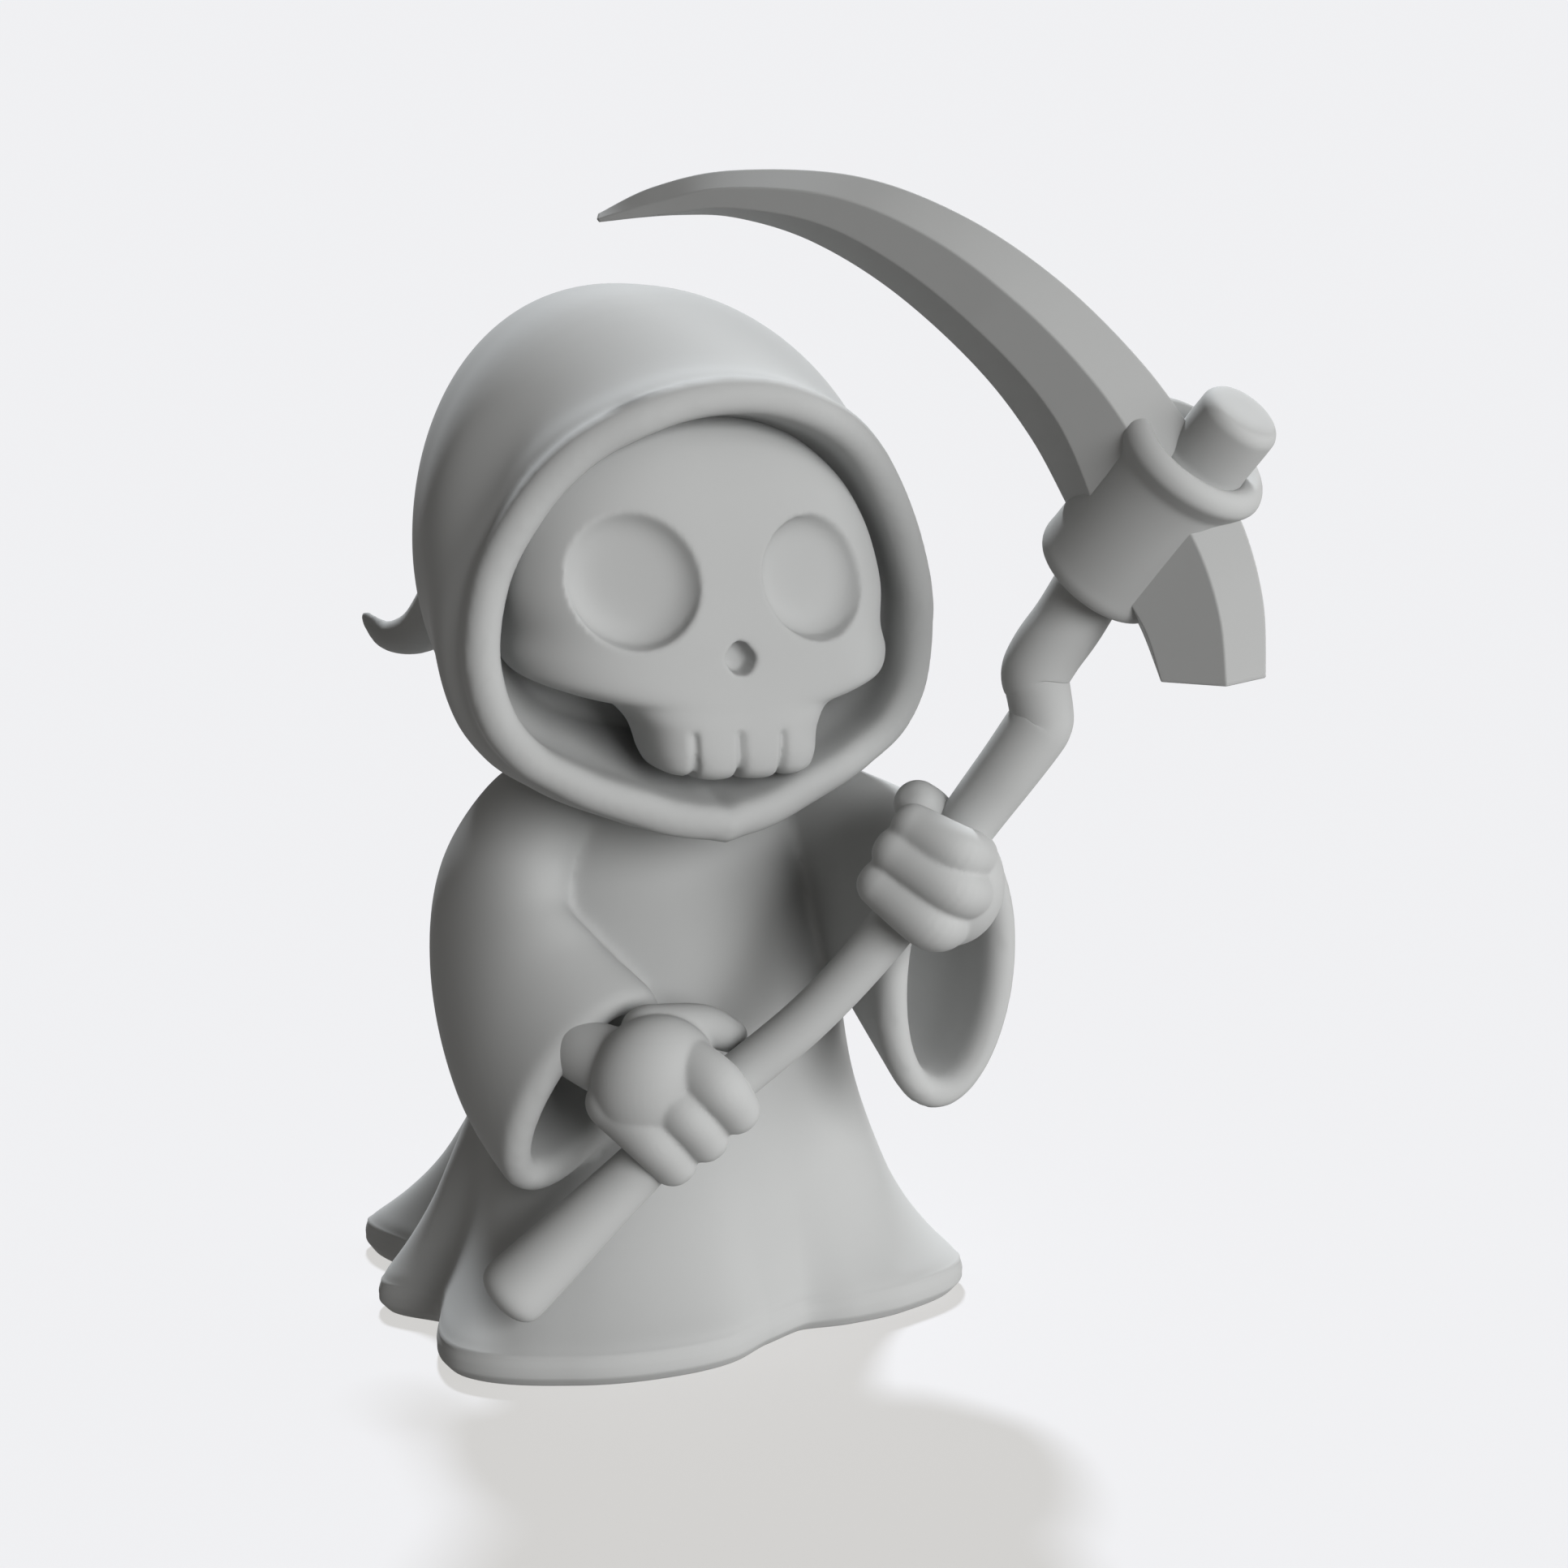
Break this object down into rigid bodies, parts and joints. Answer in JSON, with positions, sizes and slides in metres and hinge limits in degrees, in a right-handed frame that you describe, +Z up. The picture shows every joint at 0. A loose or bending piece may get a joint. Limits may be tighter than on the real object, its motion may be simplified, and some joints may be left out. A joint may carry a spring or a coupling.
{
  "type": "reaper figurine ornament",
  "caption": "Hooded skull faced reaper in a flared robe, gripping a crooked scythe across its body; stands on the flat underside of its hem.",
  "frame": {"origin": "on the underside of the hem, below the middle of the robe", "axes": "+Z up, +Y towards the back of the figure, +X to the side that holds the scythe's blade"},
  "size_m": [0.0745, 0.1034, 0.1241],
  "materials": {
    "resin": "matt pale grey casting, even all over"
  },
  "bodies": {
    "root": {"reaper": "resin"}
  },
  "joints": []
}
